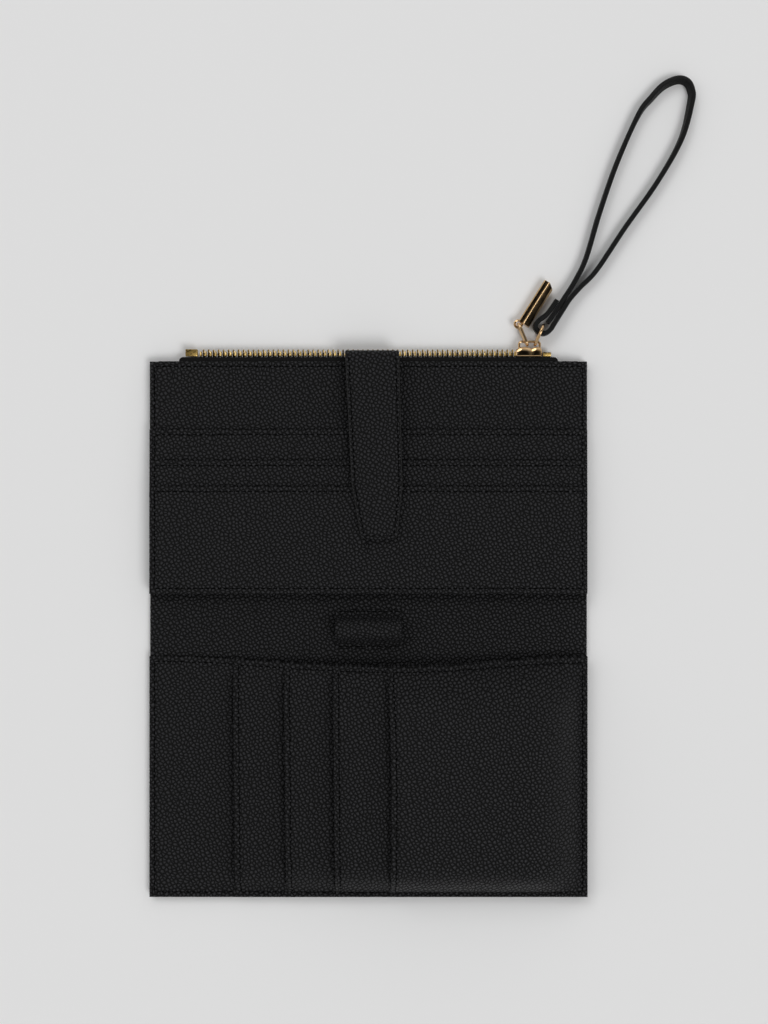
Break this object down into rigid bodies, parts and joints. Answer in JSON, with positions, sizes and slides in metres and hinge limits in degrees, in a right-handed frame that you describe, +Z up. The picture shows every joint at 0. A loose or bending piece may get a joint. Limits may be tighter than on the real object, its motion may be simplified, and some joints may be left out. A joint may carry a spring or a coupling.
{
  "type": "passport holder",
  "caption": "Family passport holder, open flat: folding leather cover with staggered pockets, card slots, pen loop, closing tab, zipped pouch and wrist strap.",
  "frame": {"origin": "middle of the spine, on the surface that the open holder lies on", "axes": "+X to the right as the open holder is read, +Y from the passport pockets towards the zip, +Z up out of the inner face"},
  "size_m": [0.2739, 0.4122, 0.0234],
  "materials": {
    "pebbled_leather": "black leather with a fine pebbled grain and a soft sheen",
    "smooth_leather": "smooth black leather, satin",
    "fibre_board": "dark matt fibre board",
    "black_fabric": "black twill",
    "antique_brass": "antique brass, lightly worn",
    "pale_gold": "polished pale gold plating",
    "plated_steel": "plain nickel plate"
  },
  "bodies": {
    "lower_panel": {"cover_lower": "pebbled_leather", "board_lower": "fibre_board", "catch_plate": "plated_steel", "facing_lower": "pebbled_leather", "ticket_pocket": "pebbled_leather", "passport_pocket_1": "pebbled_leather", "passport_pocket_2": "pebbled_leather", "passport_pocket_3": "pebbled_leather", "passport_pocket_4": "pebbled_leather"},
    "spine": {"cover_spine": "pebbled_leather", "board_spine": "fibre_board", "facing_spine": "pebbled_leather", "pen_loop": "pebbled_leather"},
    "upper_panel": {"cover_upper": "pebbled_leather", "board_upper": "fibre_board", "pouch_lining": "black_fabric", "card_backing": "pebbled_leather", "card_tier_1": "pebbled_leather", "card_tier_2": "pebbled_leather", "card_tier_3": "pebbled_leather", "zip_tape_front": "black_fabric", "zip_tape_back": "black_fabric", "zip_teeth_front": "antique_brass", "zip_teeth_back": "antique_brass", "zip_bottom_stop": "antique_brass", "zip_top_stop_front": "antique_brass", "zip_top_stop_back": "antique_brass", "tab_root": "pebbled_leather"},
    "zip_slider": {"slider_body": "pale_gold"},
    "puller_link": {"puller_link": "pale_gold"},
    "puller": {"puller_bar": "pale_gold"},
    "strap_link": {"strap_link": "pale_gold"},
    "wrist_strap": {"wrist_strap": "smooth_leather"},
    "tab_neck": {"tab_neck": "pebbled_leather"},
    "tab_bridge": {"tab_bridge_lining": "pebbled_leather", "tab_bridge_face": "pebbled_leather"},
    "tab_tip": {"tab_tip_lining": "pebbled_leather", "tab_tip_face": "pebbled_leather", "tab_magnet": "plated_steel"}
  },
  "joints": [
    {"name": "fold_lower", "type": "hinge", "parent": "lower_panel", "child": "spine", "pos_m": [0, -0.0157, 0.003], "axis": [1, 0, 0], "range_deg": [0, 90]},
    {"name": "fold_upper", "type": "hinge", "parent": "spine", "child": "upper_panel", "pos_m": [0, 0.0153, 0.003], "axis": [1, 0, 0], "range_deg": [0, 90]},
    {"name": "zip_slide", "type": "slide", "parent": "upper_panel", "child": "zip_slider", "axis": [1, 0, 0], "range_m": [-0.159, 0]},
    {"name": "puller_link_swing", "type": "hinge", "parent": "zip_slider", "child": "puller_link", "pos_m": [0.079, 0.142, 0.0037], "axis": [0, 0, 1], "range_deg": [0, 18]},
    {"name": "puller_swing", "type": "hinge", "parent": "puller_link", "child": "puller", "pos_m": [0.07526, 0.15094, 0.003], "axis": [0, 0, 1], "range_deg": [0, 60]},
    {"name": "strap_link_swing", "type": "hinge", "parent": "zip_slider", "child": "strap_link", "pos_m": [0.0843, 0.142, 0.0037], "axis": [0, 0, 1], "range_deg": [-18, 0]},
    {"name": "strap_swing", "type": "hinge", "parent": "strap_link", "child": "wrist_strap", "pos_m": [0.08763, 0.15025, 0.003], "axis": [0, 0, 1], "range_deg": [-20, 0]},
    {"name": "tab_swing", "type": "hinge", "parent": "upper_panel", "child": "tab_neck", "pos_m": [0.00185, 0.1369, 0.0068], "axis": [1, 0, 0], "range_deg": [-140, 0]},
    {"name": "tab_wrap", "type": "hinge", "parent": "tab_neck", "child": "tab_bridge", "pos_m": [0.00185, 0.1369, 0.01045], "axis": [-1, 0, 0], "range_deg": [0, 90]},
    {"name": "tab_wrap_tip", "type": "hinge", "parent": "tab_bridge", "child": "tab_tip", "pos_m": [0.00185, 0.1099, 0.01045], "axis": [-1, 0, 0], "range_deg": [-90, 0]}
  ],
  "couplings": [
    {"joint": "fold_upper", "follows": "fold_lower", "ratio": 1},
    {"joint": "tab_wrap_tip", "follows": "tab_wrap", "ratio": -1}
  ]
}
